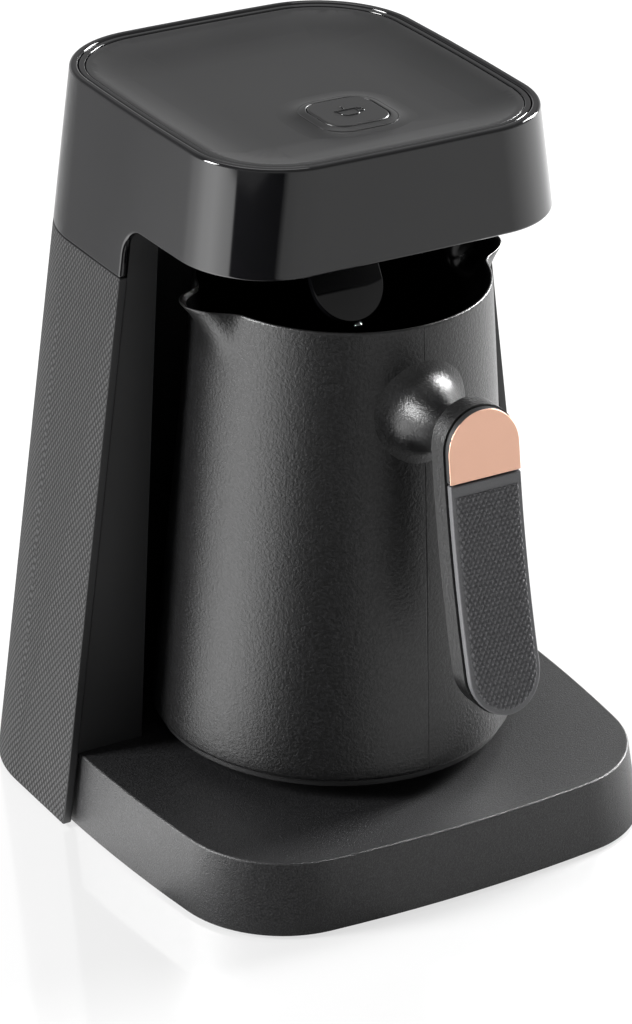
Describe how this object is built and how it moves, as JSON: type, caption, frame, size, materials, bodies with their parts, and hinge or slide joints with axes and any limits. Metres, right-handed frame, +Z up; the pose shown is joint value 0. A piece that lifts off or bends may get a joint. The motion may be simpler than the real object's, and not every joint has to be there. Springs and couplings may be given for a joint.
{
  "type": "electric turkish coffee maker",
  "caption": "Countertop coffee maker with a tapered column, overhanging head with dished tray and push button, hinged level sensor, and a handled jug that pulls out of its bay.",
  "frame": {"origin": "middle of the object's footprint on the table top, handle included", "axes": "+Z up; the front with the jug and handle faces -Y; X runs across, +X to the right of a viewer in front"},
  "size_m": [0.1754, 0.1901, 0.226],
  "materials": {
    "gloss_black": "glossy moulded ABS",
    "tray_matte": "soft matte moulded plastic",
    "rim_gloss": "fine glossy rim",
    "sleeve_weave": "moulded with a fine diamond texture",
    "charcoal_plain": "plain satin moulding",
    "jug_plastic": "sand textured moulding",
    "copper": "satin rose copper coating",
    "grip": "knurled soft grip",
    "button_plastic": "satin cap",
    "steel": "turned stainless steel",
    "spring_steel": "spring wire",
    "screw_steel": "zinc plated",
    "heater_steel": "dark coated stainless steel",
    "contact_brass": "plated brass contacts",
    "circuit_board": "glass epoxy board",
    "component_black": "moulded component case",
    "component_light": "light component case",
    "frame_grey": "glass filled inner moulding",
    "cable": "insulated lead",
    "feet_rubber": "soft rubber",
    "seal_silicone": "silicone seal"
  },
  "bodies": {
    "machine": {"upper_housing": "gloss_black", "body_sleeve": "sleeve_weave", "column_front_panel": "charcoal_plain", "head_underside_panel": "charcoal_plain", "top_tray": "tray_matte", "tray_rim": "rim_gloss", "button_collar": "tray_matte", "button_spring": "spring_steel", "push_switch": "component_black", "status_light": "component_light", "buzzer": "component_black", "control_board": "circuit_board", "control_board_screws": "screw_steel", "sensor_hinge_pin": "steel", "sensor_spring": "spring_steel", "base_cover": "charcoal_plain", "base_bottom_cover": "charcoal_plain", "base_screws": "screw_steel", "rubber_feet": "feet_rubber", "base_connector": "component_black", "contact_pins": "contact_brass", "connector_screws": "screw_steel", "column_frame": "frame_grey", "power_board": "circuit_board", "power_board_screws": "screw_steel", "relay": "component_black", "capacitor": "component_light", "cord_gland": "feet_rubber", "connector_lead": "cable"},
    "button": {"start_button": "button_plastic", "switch_plunger": "component_light"},
    "paddle": {"sensor_paddle": "gloss_black", "sensor_tip": "steel"},
    "jug": {"jug_shell": "jug_plastic", "jug_base_ring": "charcoal_plain", "heater_plate": "heater_steel", "heater_seal": "seal_silicone", "heating_element": "heater_steel", "jug_bottom_cover": "charcoal_plain", "jug_screws": "screw_steel", "jug_connector": "component_black", "handle_badge": "copper", "grip_pad": "grip", "handle_frame": "jug_plastic", "handle_screws": "screw_steel"}
  },
  "joints": [
    {"name": "button_press", "type": "slide", "parent": "machine", "child": "button", "axis": [0, 0, -1], "range_m": [0, 0.0012], "stiffness_N_per_m": 800, "springref_m": -0.001, "deforming": ["button_spring"]},
    {"name": "jug_pull", "type": "slide", "parent": "machine", "child": "jug", "axis": [0, -1, 0], "range_m": [0, 0.18]},
    {"name": "paddle_swing", "type": "hinge", "parent": "machine", "child": "paddle", "pos_m": [0, 0.0121, 0.188], "axis": [1, 0, 0], "range_deg": [-36, 102], "stiffness_Nm_per_rad": 0.004, "springref_deg": -2.98}
  ]
}
